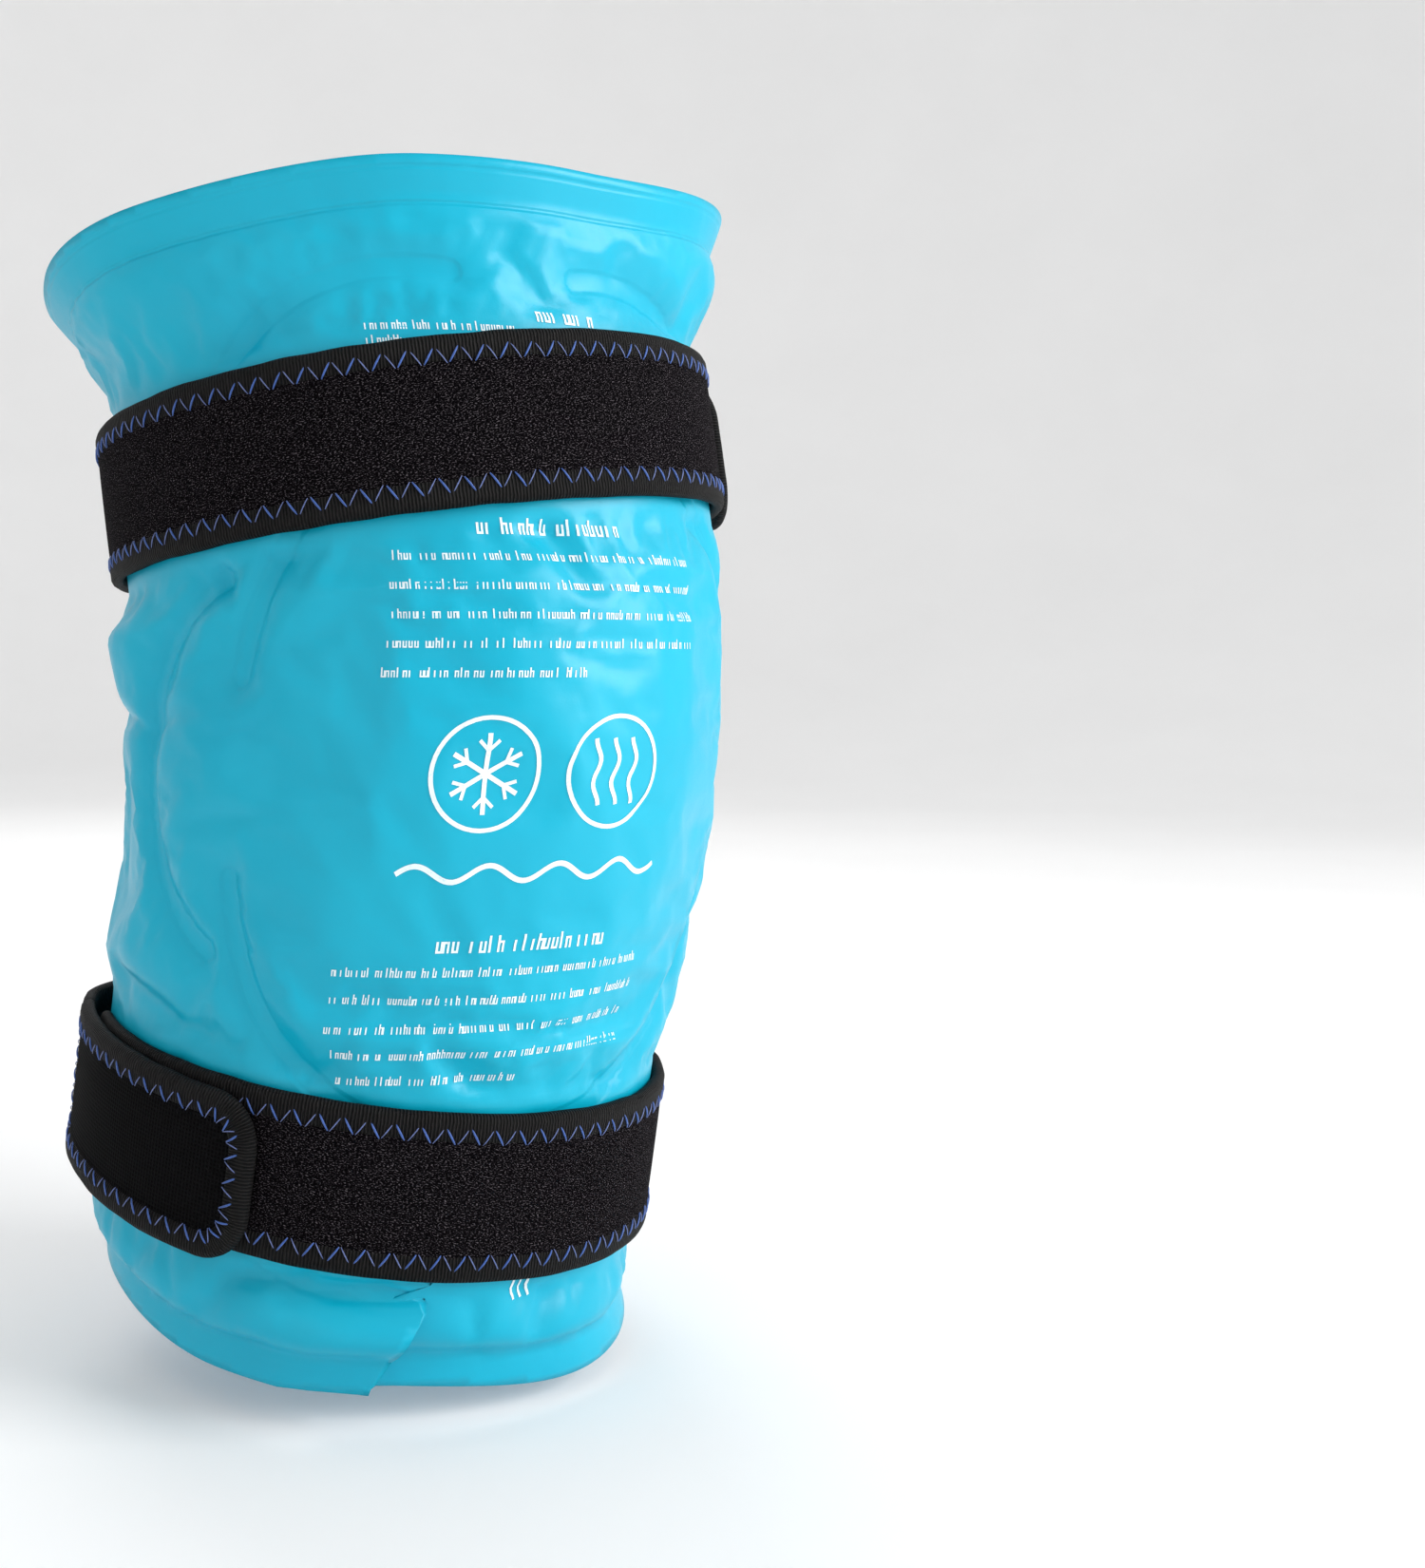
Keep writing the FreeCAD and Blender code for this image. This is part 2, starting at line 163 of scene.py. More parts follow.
class Nodes:
    """A material under construction."""

    def __init__(self, name, colour, roughness, **sockets):
        self.material = bpy.data.materials.new(name)
        self.material.use_nodes = True
        self.tree = self.material.node_tree
        self.shader = self.tree.nodes["Principled BSDF"]
        for socket, value in {"Base Color": (*colour, 1), "Roughness": roughness, **sockets}.items():
            self.shader.inputs[socket].default_value = value

    def add(self, kind, inputs=None, **props):
        node = self.tree.nodes.new(kind)
        for prop, value in props.items():
            setattr(node, prop, value)
        for socket, value in (inputs or {}).items():
            if isinstance(value, bpy.types.NodeSocket):
                self.tree.links.new(value, node.inputs[socket])
            else:
                node.inputs[socket].default_value = value
        return node

    def link(self, source, socket):
        self.tree.links.new(source, self.shader.inputs[socket])

    def place(self, scale=1.0, stretch=(1, 1, 1), surface=False):
        """Coordinates in millimetres: the object's own, or a strap's along, across and up."""
        source = self.add("ShaderNodeTexCoord").outputs["UV" if surface else "Object"]
        scales = tuple(1000 * scale * s for s in stretch)
        return self.add("ShaderNodeMapping", {"Vector": source, "Scale": scales}).outputs["Vector"]

    def noise(self, where, detail=3.0, roughness=0.55):
        inputs = {"Vector": where, "Scale": 1.0, "Detail": detail, "Roughness": roughness}
        return self.add("ShaderNodeTexNoise", inputs).outputs["Fac"]

    def ramp(self, source, low, high, low_colour=(0, 0, 0), high_colour=(1, 1, 1)):
        node = self.add("ShaderNodeValToRGB", {"Fac": source})
        for stop, position, colour in zip(node.color_ramp.elements, (low, high), (low_colour, high_colour)):
            stop.position = position
            stop.color = (*colour, 1)
        return node.outputs["Color"]

    def math(self, operation, a, b):
        return self.add("ShaderNodeMath", {0: a, 1: b}, operation=operation).outputs[0]

    def attribute(self, name):
        return self.add("ShaderNodeAttribute", attribute_name=name).outputs["Fac"]

    def cells(self, where, randomness=1.0):
        inputs = {"Vector": where, "Scale": 1.0, "Randomness": randomness}
        return self.add("ShaderNodeTexVoronoi", inputs).outputs["Distance"]

    def ribs(self, along, pitch):
        return self.math("SINE", self.math("MULTIPLY", along, 2 * math.pi / pitch), 0.0)

    def beside(self, gap, low, high):
        """0 on the line that runs a gap outside the gel's border, rising to 1 on both its sides."""
        away = self.math("ABSOLUTE", self.math("ADD", self.attribute("inset"), gap), 0.0)
        return self.step(away, low, high)

    def step(self, value, low, high):
        inputs = {"Value": value, "From Min": low, "From Max": high}
        return self.add("ShaderNodeMapRange", inputs, interpolation_type="SMOOTHSTEP").outputs["Result"]

    def bump(self, height, distance, strength=1.0, under=None):
        inputs = {"Height": height, "Distance": distance * MM, "Strength": strength}
        if under is not None:
            inputs["Normal"] = under
        return self.add("ShaderNodeBump", inputs).outputs["Normal"]


def film_material():
    gloss = {"Coat Weight": 0.05, "Coat Roughness": 0.25, "Specular IOR Level": 0.3}
    m = Nodes("film", (0.0, 0.34, 0.48), 0.36, **gloss)
    broad = m.noise(m.place(0.02), detail=2.0)
    m.link(m.ramp(broad, 0.3, 0.7, (0.0, 0.39, 0.565), (0.0, 0.425, 0.6)), "Base Color")
    grain = m.noise(m.place(2.2), detail=2.0)
    m.link(m.ramp(grain, 0.2, 0.8, (0.32, 0.32, 0.32), (0.42, 0.42, 0.42)), "Roughness")
    wave = m.bump(m.noise(m.place(0.12), detail=1.0), 0.5, 0.5)
    pressed = m.step(m.attribute("weld"), -0.7, 0.7)
    lines = [m.beside(gap, 0.1, 0.8) for gap in (0.0, 7.5)]
    lined = m.bump(m.math("ADD", lines[0], m.math("MULTIPLY", lines[1], 0.6)), 0.3, 0.8, wave)
    m.link(m.bump(grain, 0.02, 0.6, m.bump(pressed, 0.3, 0.7, lined)), "Normal")
    return m.material


def plush_material():
    sheen = {"Sheen Weight": 0.35, "Sheen Roughness": 0.4, "Sheen Tint": (0.75, 0.93, 1.0, 1)}
    m = Nodes("plush", (0.13, 0.47, 0.68), 0.95, **sheen)
    pile = m.noise(m.place(1.1), detail=4.0, roughness=0.7)
    patch = m.noise(m.place(0.05), detail=2.0)
    both = m.math("ADD", m.math("MULTIPLY", pile, 0.6), m.math("MULTIPLY", patch, 0.4))
    m.link(m.ramp(both, 0.3, 0.7, (0.08, 0.38, 0.58), (0.19, 0.56, 0.77)), "Base Color")
    pressed = m.step(m.attribute("weld"), -0.8, 0.8)
    seams = [m.beside(gap, 0.2, 1.1) for gap in (0.0, 3.5)]
    lined = m.bump(m.math("ADD", seams[0], m.math("ADD", seams[1], pressed)), 0.7, 0.9)
    m.link(m.bump(pile, 0.5, 0.7, lined), "Normal")
    return m.material


def loop_material():
    """Brushed black loop pile with short pale fibres caught in it."""
    m = Nodes("loop_pile", (0.006, 0.0055, 0.006), 0.9, **{"Specular IOR Level": 0.02})
    swirl = m.noise(m.place(0.6, surface=True), detail=2.0)
    turned = [m.math("MULTIPLY", swirl, amount) for amount in (2.2, -1.6)]
    twist = m.add("ShaderNodeCombineXYZ", {0: turned[0], 1: turned[1]}).outputs[0]
    pair = {0: m.place(2.0, surface=True), 1: twist}
    bent = m.add("ShaderNodeVectorMath", pair, operation="ADD").outputs[0]
    fibre = m.add("ShaderNodeMapping", {"Vector": bent, "Scale": (1.0, 2.1, 1.0)}).outputs["Vector"]
    fleck = m.noise(fibre, detail=2.0, roughness=0.5)
    m.link(m.ramp(fleck, 0.56, 0.72, (0.0018, 0.0014, 0.002), (0.125, 0.11, 0.122)), "Base Color")
    m.link(m.bump(fleck, 0.35, 0.8), "Normal")
    return m.material


def knit_material():
    m = Nodes("smooth_knit", (0.012, 0.012, 0.013), 0.8, **{"Specular IOR Level": 0.08})
    knit = m.cells(m.place(1.6, surface=True))
    m.link(m.ramp(knit, 0.1, 0.8, (0.02, 0.02, 0.021), (0.008, 0.008, 0.009)), "Base Color")
    m.link(m.bump(knit, 0.2, 0.5), "Normal")
    return m.material


def weave_material():
    """The tab's fine square weave."""
    m = Nodes("tab_weave", (0.01, 0.01, 0.011), 0.75, **{"Specular IOR Level": 0.03})
    split = m.add("ShaderNodeSeparateXYZ", {0: m.place(1.0, surface=True)})
    rows = [m.ribs(split.outputs[i], 0.95) for i in (0, 1)]
    grid = m.math("MAXIMUM", rows[0], rows[1])
    mixed = m.math("ADD", m.math("MULTIPLY", grid, 0.4), m.noise(m.place(2.0, surface=True)))
    m.link(m.ramp(mixed, 0.45, 1.0, (0.0008, 0.0008, 0.0009), (0.006, 0.006, 0.0065)), "Base Color")
    m.link(m.bump(grid, 0.18, 0.7), "Normal")
    return m.material


def tape_material():
    """Folded binding tape with close overlocked ribs across it."""
    m = Nodes("binding_tape", (0.012, 0.012, 0.013), 0.65, **{"Specular IOR Level": 0.12})
    jitter = m.noise(m.place(0.5, surface=True), detail=2.0)
    split = m.add("ShaderNodeSeparateXYZ", {0: m.place(1.0, surface=True)})
    along = m.math("ADD", split.outputs[0], m.math("MULTIPLY", jitter, 0.5))
    rib = m.ribs(along, 0.8)
    m.link(m.ramp(rib, 0.2, 1.0, (0.0015, 0.0015, 0.0017), (0.017, 0.016, 0.0155)), "Base Color")
    m.link(m.bump(rib, 0.22, 0.8), "Normal")
    return m.material


def foam_material():
    m = Nodes("foam", (0.02, 0.02, 0.022), 0.9)
    cells = m.cells(m.place(2.5))
    m.link(m.ramp(cells, 0.1, 0.7, (0.01, 0.01, 0.011), (0.035, 0.035, 0.038)), "Base Color")
    m.link(m.bump(cells, 0.2, 0.6), "Normal")
    return m.material


def hook_material():
    m = Nodes("hook_tape", (0.01, 0.01, 0.011), 0.5)
    dots = m.cells(m.place(1.2, surface=True), randomness=0.25)
    m.link(m.ramp(dots, 0.1, 0.5, (0.05, 0.05, 0.053), (0.006, 0.006, 0.007)), "Base Color")
    m.link(m.bump(m.math("SUBTRACT", 1.0, dots), 0.6, 0.9), "Normal")
    return m.material


def thread_material(name, colour):
    m = Nodes(name, colour, 0.45, **{"Sheen Weight": 0.15})
    twist = m.noise(m.place(4.0), detail=2.0)
    dark = tuple(c * 0.55 for c in colour)
    m.link(m.ramp(twist, 0.3, 0.65, dark, colour), "Base Color")
    m.link(m.bump(twist, 0.06, 0.6), "Normal")
    return m.material


def ink_material():
    m = Nodes("white_ink", (0.78, 0.9, 0.93), 0.4)
    worn = m.noise(m.place(1.5), detail=3.0)
    m.link(m.ramp(worn, 0.2, 0.45, (0.45, 0.72, 0.8), (0.8, 0.92, 0.95)), "Base Color")
    return m.material


def floor_material():
    m = Nodes("pale_floor", (0.92, 0.92, 0.92), 0.75)
    m.link(m.ramp(m.noise(m.place(0.004)), 0.3, 0.7, (0.91, 0.91, 0.91), (0.93, 0.93, 0.93)), "Base Color")
    return m.material


FILM = film_material()
PLUSH = plush_material()
LOOP = loop_material()
KNIT = knit_material()
WEAVE = weave_material()
TAPE = tape_material()
FOAM = foam_material()
HOOKS = hook_material()
BLUE = thread_material("blue_thread", (0.045, 0.13, 0.48))
PALE = thread_material("pale_thread", (0.15, 0.21, 0.5))
INK = ink_material()


# ---- the surface of the leg


# How far a strap ring's axis leans across and back, for each unit that it rises.
LEAN = (-0.09, 0.10)


def ring_frame(centre, lean):
    """A strap ring's centre and turn: its own z axis leans as the strap does."""
    axis = Vector((lean * LEAN[0], lean * LEAN[1], 1)).normalized()
    turn = Vector((0, 0, 1)).rotation_difference(axis).to_matrix()
    return np.array(centre, float), np.array(turn)


UPPER = ring_frame((1, -12, 75), 1)
LOWER = ring_frame((-9, -11, -88), -1)
LEVEL = np.eye(3)
UPPER_RADIUS = 69.5
LOWER_RADIUS = 63.5
RINGS = ((UPPER, UPPER_RADIUS), (LOWER, LOWER_RADIUS))
# Half the height of the straight stretch under a strap.
ZONE = 28


def raised(ring, height):
    return ring[0] + ring[1][:, 2] * height


# Round sections from the bottom rim up: centre, turn and radius inside the pack.
SECTIONS = [
    (np.array((-10.0, -3, -142)), LEVEL, 66.0),
    (raised(LOWER, -ZONE), LOWER[1], LOWER_RADIUS),
    (raised(LOWER, ZONE), LOWER[1], LOWER_RADIUS),
    (np.array((0.0, -18, 0)), LEVEL, 67.5),
    (raised(UPPER, -ZONE), UPPER[1], UPPER_RADIUS),
    (raised(UPPER, ZONE), UPPER[1], UPPER_RADIUS),
    (np.array((-6.0, -3, 142)), LEVEL, 83.0),
]
# How much steeper than its chord the surface leaves at both ends.
FLARE = 1.25


def on_leg(angle, level, offset):
    """Points at an angle and a level, moved out by an offset: a smooth curve through the sections."""
    rings = []
    for centre, turn, radius in SECTIONS:
        reach = radius + offset
        flat = np.stack([reach * np.sin(angle), -reach * np.cos(angle), np.zeros_like(angle)])
        rings.append(centre[:, None] + turn @ flat)
    rings = np.array(rings)
    heights = rings[:, 2]
    rise = (rings[1:, :2] - rings[:-1, :2]) / (heights[1:] - heights[:-1])[:, None]
    knee = (rings[4, :2] - rings[2, :2]) / (heights[4] - heights[2])
    slopes = np.array([rise[0] * FLARE, rise[1], rise[1], knee, rise[4], rise[4], rise[5] * FLARE])
    span = (level >= heights[1:-1]).sum(0)
    pick = np.arange(len(angle))
    low, high = rings[span, :, pick], rings[span + 1, :, pick]
    length = high[:, 2] - low[:, 2]
    t = (level - low[:, 2]) / length
    t2, t3 = t * t, t * t * t
    weights = [2 * t3 - 3 * t2 + 1, t3 - 2 * t2 + t, -2 * t3 + 3 * t2, t3 - t2]
    terms = [low[:, :2], slopes[span, :, pick] * length[:, None], high[:, :2]]
    terms.append(slopes[span + 1, :, pick] * length[:, None])
    across = sum(w[:, None] * term for w, term in zip(weights, terms))
    return np.column_stack([across, level])


def leg_centre(level):
    return on_leg(np.array([0.0, math.pi]), np.array([level, level]), np.zeros(2)).mean(0)


def ring_height(ring, points):
    return (points - ring[0]) @ ring[1][:, 2]


# ---- the pack's outline

# The sheet's chart: angle times CHART across, level up, in millimetres.
CHART = 78.0
SEAM_Y = 18.0
SLOT_ANGLE = math.radians(130.0)
SLOT_LENGTH = 54.0
SLOT_WIDTH = 9.0
# Each pair of ears: its level and its middle across. An ear's edge runs inwards from its root.
EARS = ((74.0, 1.0), (-80.0, -9.0))
EAR_HALF = 46.0
EAR_ROOT = 72.0
EAR_REACH = 34.0
WAIST = 54.5
HALVINGS = 30
RIM = 140.0
RIM_FRONT = 95.0
TOP_BOW = 319.0
LOW_BOW = 456.0


def find_angle(levels, side, target, coordinate):
    """The angle past the side of the leg at which a coordinate reaches a target."""
    low, high = (np.full_like(levels, math.radians(limit)) for limit in (80.0, 175.0))
    for _ in range(HALVINGS):
        middle = (low + high) / 2
        point = on_leg(side * middle, levels, np.ones_like(levels))
        short = point[:, 1] < target if coordinate == "y" else side * point[:, 0] > side * target
        low = np.where(short, middle, low)
        high = np.where(short, high, middle)
    return low


def side_angles(levels, side):
    """How far round the sheet reaches at each level: the side seam, the waist or an ear."""
    seam = find_angle(levels, side, np.full_like(levels, SEAM_Y), "y")
    reach = seam.copy()
    for centre, middle in EARS:
        share = np.clip(1 - ((levels - centre) / EAR_HALF) ** 2, 0, 1)
        target = middle + side * (EAR_ROOT - EAR_REACH * np.sqrt(share))
        ear = find_angle(levels, side, target, "x")
        reach = np.where(share > 0, np.maximum(reach, ear), reach)
    waist = find_angle(levels, side, np.full_like(levels, side * WAIST), "x")
    between = (levels > -60) & (levels < 55)
    return seam, np.where(between, np.maximum(reach, waist), reach)


def rim_level(angles, top):
    """The level of the pack's top or bottom edge, a shallow curve seen from the side."""
    bow = TOP_BOW if top else LOW_BOW
    level = np.full_like(angles, 130.0 if top else -130.0)
    for _ in range(8):
        y = on_leg(angles, level, np.full_like(angles, 2.0))[:, 1]
        drop = bow - np.sqrt(bow * bow - (y + RIM_FRONT) ** 2)
        level = RIM - drop if top else drop - RIM
    left, right = smoothstep((-angles - 0.3) / 0.8), smoothstep((angles - 0.2) / 1.0)
    if top:
        return level + 6.0 * right - 3.5 * left
    hanging = np.exp(-(((np.degrees(angles) - 22) / 26) ** 2))
    return level + 3.5 * smoothstep((-angles - 0.9) / 0.7) - 4.5 * hanging


LEVELS = np.arange(-146.0, 146.5, 1.0)
SIDE_TABLE = {side: side_angles(LEVELS, side) for side in (1, -1)}
ANGLES = np.radians(np.arange(-170.0, 170.5, 1.0))
RIMS = {top: rim_level(ANGLES, top) for top in (True, False)}


def softened(values, reach):
    kernel = np.hanning(2 * reach + 1)[1:-1]
    padded = np.pad(values, len(kernel) // 2, mode="edge")
    return np.convolve(padded, kernel / kernel.sum(), "valid")


EDGE_TABLE = {side: softened(SIDE_TABLE[side][1], 7) for side in (1, -1)}
SEAM_TABLE = {side: softened(SIDE_TABLE[side][0], 9) for side in (1, -1)}


def seam_angle(angle, level):
    right = np.interp(level, LEVELS, SEAM_TABLE[1])
    left = np.interp(level, LEVELS, SEAM_TABLE[-1])
    return np.where(angle > 0, right, left)


def pack_outline():
    """The sheet's border in the chart."""
    rows = {}
    for side in (1, -1):
        edge = EDGE_TABLE[side]
        top = np.interp(side * edge, ANGLES, RIMS[True])
        low = np.interp(side * edge, ANGLES, RIMS[False])
        keep = (LEVELS < top - 0.5) & (LEVELS > low + 0.5)
        rows[side] = np.column_stack([side * edge[keep] * CHART, LEVELS[keep]])
    tops = []
    for top in (True, False):
        right = rows[1][-1 if top else 0][0]
        left = rows[-1][-1 if top else 0][0]
        across = np.linspace(left, right, 230)[1:-1]
        tops.append(np.column_stack([across, np.interp(across / CHART, ANGLES, RIMS[top])]))
    return np.vstack([rows[1], tops[0][::-1], rows[-1][::-1], tops[1]])


def slot_outline(ring, side, radius):
    """A strap slot's border in the chart."""
    round_end = SLOT_WIDTH / 2
    half = (SLOT_LENGTH - SLOT_WIDTH) / 2
    turns = np.linspace(0, math.pi, 9)
    ends = [(round_end * math.cos(t), half + round_end * math.sin(t)) for t in turns]
    ends += [(-x, -y) for x, y in ends]
    shape = []
    for across, up in ends:
        angle = side * SLOT_ANGLE + across / radius
        spot = np.array((math.sin(angle) * radius, -math.cos(angle) * radius, up))
        x, y, z = ring[0] + ring[1] @ spot
        centre = leg_centre(z)
        shape.append((math.atan2(x - centre[0], -(y - centre[1])) % (2 * math.pi), z))
    shape = [(a - 2 * math.pi if a > math.pi else a, z) for a, z in shape]
    return np.array([(a * CHART, z) for a, z in shape])


def resampled(points, spacing):
    """A closed border with points at an even spacing."""
    loop = np.vstack([points, points[:1]])
    steps = path_steps(loop)
    count = max(8, int(steps[-1] / spacing))
    return along_path(np.linspace(0, steps[-1], count + 1)[:-1], steps, loop)


def inside(points, border):
    """Which points lie inside a closed border."""
    x, y = points[:, 0], points[:, 1]
    hit = np.zeros(len(points), bool)
    for (x1, y1), (x2, y2) in zip(border, np.roll(border, -1, axis=0)):
        crosses = (y1 > y) != (y2 > y)
        with np.errstate(divide="ignore", invalid="ignore"):
            hit ^= crosses & (x < (x2 - x1) * (y - y1) / (y2 - y1) + x1)
    return hit


def near(points, border, reach):
    gaps = np.full(len(points), 1e9)
    for corner in border:
        gaps = np.minimum(gaps, np.linalg.norm(points - corner, axis=1))
    return gaps < reach


def triangulated(outer, holes, spacing):
    """An even triangle mesh of a flat region with holes: its points and its triangles."""
    borders = [resampled(border, spacing) for border in [outer, *holes]]
    low, high = outer.min(0), outer.max(0)
    rows = np.arange(low[1], high[1], spacing * 0.866)
    grid = []
    for index, y in enumerate(rows):
        xs = np.arange(low[0] + (index % 2) * spacing / 2, high[0], spacing)
        grid.append(np.column_stack([xs, np.full_like(xs, y)]))
    grid = np.vstack(grid)
    keep = inside(grid, borders[0])
    for border in borders:
        keep &= ~near(grid, border, spacing * 0.6)
    for border in borders[1:]:
        keep &= ~inside(grid, border)
    points = [Vector(p) for p in grid[keep]]
    edges = []
    for border in borders:
        first = len(points)
        points += [Vector(p) for p in border]
        ids = list(range(first, first + len(border)))
        edges += list(zip(ids, ids[1:] + ids[:1]))
    found, _, faces, _, _, _ = delaunay_2d_cdt(points, edges, [], 0, 1e-5, False)
    flat = np.array([tuple(p) for p in found])
    faces = np.array([f for f in faces if len(f) == 3])
    middles = flat[faces].mean(1)
    keep = inside(middles, borders[0])
    for border in borders[1:]:
        keep &= ~inside(middles, border)
    return flat, faces[keep]


def border_edges(faces):
    """The edges that only one triangle has, each in that triangle's direction."""
    seen = {}
    for face in faces:
        for a, b in zip(face, np.roll(face, -1)):
            key = (min(a, b), max(a, b))
            seen[key] = None if key in seen else (a, b)
    return [pair for pair in seen.values() if pair is not None]


def closed_sheet(name, faces, front, back, material, flat=None):
    """A closed piece from one flat triangle mesh placed twice, with its border closed by quads."""
    count = len(front)
    quads = [(b, a, a + count, b + count) for a, b in border_edges(faces)]
    data = bpy.data.meshes.new(name)
    points = np.vstack([front, back]) * MM
    polygons = [tuple(f) for f in faces] + [tuple(f[::-1] + count) for f in faces] + quads
    data.from_pydata(points.tolist(), [], [tuple(int(i) for i in p) for p in polygons])
    data.shade_smooth()
    if flat is not None:
        uvs = data.uv_layers.new(name="chart")
        chart = np.vstack([flat, flat]) * MM
        corner = np.zeros(len(data.loops), int)
        data.loops.foreach_get("vertex_index", corner)
        uvs.data.foreach_set("uv", chart[corner].ravel())
    data.materials.append(material)
    return linked(name, data)


# ---- the pack's relief

# The welds' middle and half spread round the leg in degrees, and their half height.
WELD_CENTRE = -3.0
WELD_SPREAD = 80
WELD_REACH = 115
# Weld arcs, each through three places: shares of the spread and of the reach.
CORNER_WELD = ((0.15, 1.0), (0.5, 0.95), (0.8, 0.6))
INNER_WELD = ((0.1, 0.7), (0.55, 0.5), (0.7, 0.2))
SIDE_WELD = ((0.75, 0.4), (1.0, 0.05), (0.75, -0.35))
WELD_HALF = 2.6
WELD_STEPS = 26
WELD_DEPTH = 2.3
# How far the film and the face that it shares with the lining stand off the leg.
FILM_EDGE = 2.0
FILM_BACK = 1.0
GEL_HEIGHT = 7.6

def pillow(distance, width):
    """A rounded shoulder that rises from 0 to 1 over a width."""
    left = 1 - np.clip(distance / width, 0, 1)
    return np.sqrt(1 - left * left)


def chart_point(degrees, level):
    return np.array((math.radians(degrees) * CHART, level))


def arc_points(first, middle, last):
    """Points along the circle through three chart points."""
    (ax, ay), (bx, by), (cx, cy) = first, middle, last
    d = 2 * (ax * (by - cy) + bx * (cy - ay) + cx * (ay - by))
    sums = [x * x + y * y for x, y in (first, middle, last)]
    ux = (sums[0] * (by - cy) + sums[1] * (cy - ay) + sums[2] * (ay - by)) / d
    uy = (sums[0] * (cx - bx) + sums[1] * (ax - cx) + sums[2] * (bx - ax)) / d
    turns = np.unwrap([math.atan2(y - uy, x - ux) for x, y in (first, middle, last)])
    radius = math.hypot(ax - ux, ay - uy)
    at = np.interp(np.linspace(0, 2, WELD_STEPS), [0, 1, 2], turns)
    return np.column_stack([ux + radius * np.cos(at), uy + radius * np.sin(at)])


def line_distance(spots, line):
    """The distance from each chart spot to a bent line."""
    best = np.full(len(spots), 1e3)
    for a, b in zip(line[:-1], line[1:]):
        way = b - a
        share = np.clip((spots - a) @ way / max(way @ way, 1e-9), 0, 1)
        best = np.minimum(best, np.linalg.norm(spots - a - share[:, None] * way, axis=1))
    return best


def weld_lines():
    """The corner and inner arcs in all four quarters, and one arc along each side."""
    lines = []
    for side in (1, -1):
        for arc, turns in ((CORNER_WELD, (1, -1)), (INNER_WELD, (1, -1)), (SIDE_WELD, (1,))):
            for turn in turns:
                places = [
                    chart_point(WELD_CENTRE + side * WELD_SPREAD * share, turn * WELD_REACH * height)
                    for share, height in arc
                ]
                lines.append(arc_points(*places))
    return lines


def weld_distance(spots):
    return np.min([line_distance(spots, line) for line in weld_lines()], axis=0) - WELD_HALF


def strap_gap(angle, level):
    """How far a point is above or below the nearer strap's edge zone."""
    points = on_leg(angle, level, np.full_like(angle, 7.0))
    heights = np.stack([np.abs(ring_height(ring, points)) for ring, _ in RINGS])
    return heights.min(0) - 22.5


def edge_distances(angle, level):
    """How far a point is inside the gel cell's welded border: from its top, its bottom and its sides."""
    top = np.interp(angle, ANGLES, RIMS[True]) - 10.0 - level
    low = level - np.interp(angle, ANGLES, RIMS[False]) - 9.0
    side = (seam_angle(angle, level) - np.abs(angle)) * 74.0 - 3.0
    return top, low, side


# Swellings of the gel: degrees, level, half width, half height and rise.
SWELLINGS = [
    (-95, 35, 15, 20, 6.0),
    (-100, -15, 25, 25, -1.5),
    (-90, -45, 20, 10, 2.0),
    (-70, 10, 10, 40, 1.0),
    (-50, 20, 15, 40, 0.5),
    (-10, 0, 35, 35, 1.5),
    (65, 45, 30, 15, -2.0),
    (65, -30, 30, 25, 2.5),
    (100, 5, 20, 35, 1.5),
    (-35, 125, 25, 8, -1.0),
]

# Creases in the film: start and end in degrees and level, half width and depth.
CREASES = [
    (-105, 15, -85, 10, 4, 3),
    (-85, 10, -70, 15, 4, 1.5),
    (-65, 105, -60, 90, 3, 2),
    (-50, 105, -55, 90, 3, 1.5),
    (-5, 120, 5, 105, 7, 3),
    (20, 120, 40, 110, 4, 1.5),
    (45, 120, 40, 105, 5, 3),
    (-5, 60, 0, 45, 5.5, 3.5),
    (5, 60, 5, 50, 3.5, 1.5),
    (-15, 60, -15, 45, 3.5, 1),
    (-5, -75, -15, -60, 5, 3.5),
    (5, -75, 10, -65, 4, 1.5),
    (-90, -50, -60, -60, 4.5, 2.5),
    (-70, -60, -60, -45, 3.5, 1.5),
    (-100, 50, -90, 35, 3.5, 1.5),
    (-65, 50, -60, 40, 3.5, 1.5),
    (-35, -65, -30, -55, 3, 1),
    (35, 60, 30, 50, 4, 1.5),
    (50, -60, 45, -45, 4, 2),
    (80, 60, 70, 40, 4, 2),
    (90, -60, 80, -40, 4, 2),
    (-45, -110, -60, -130, 5.5, 2.5),
    (-70, -110, -80, -125, 4, 1.5),
    (15, -115, 10, -135, 5, 2),
    (40, -110, 45, -130, 4, 1.5),
]


def small_puckers():
    """Short creases at uneven steps along the straps' edges."""
    rng = random.Random(6)
    found = []
    for ring, radius in RINGS:
        out = radius + 7.5
        for side in (1, -1):
            degrees = -98.0
            while degrees < 98:
                turn = math.radians(degrees)
                place = np.array((math.sin(turn) * out, -math.cos(turn) * out, side * 22.0))
                level = (ring[0] + ring[1] @ place)[2]
                length, lean = rng.uniform(5, 15), rng.uniform(-5, 5)
                width, depth = rng.uniform(2.0, 3.6), rng.uniform(0.4, 1.5)
                found.append((degrees, level, degrees + lean, level + side * length, width, depth))
                degrees += rng.uniform(5, 14)
    return found


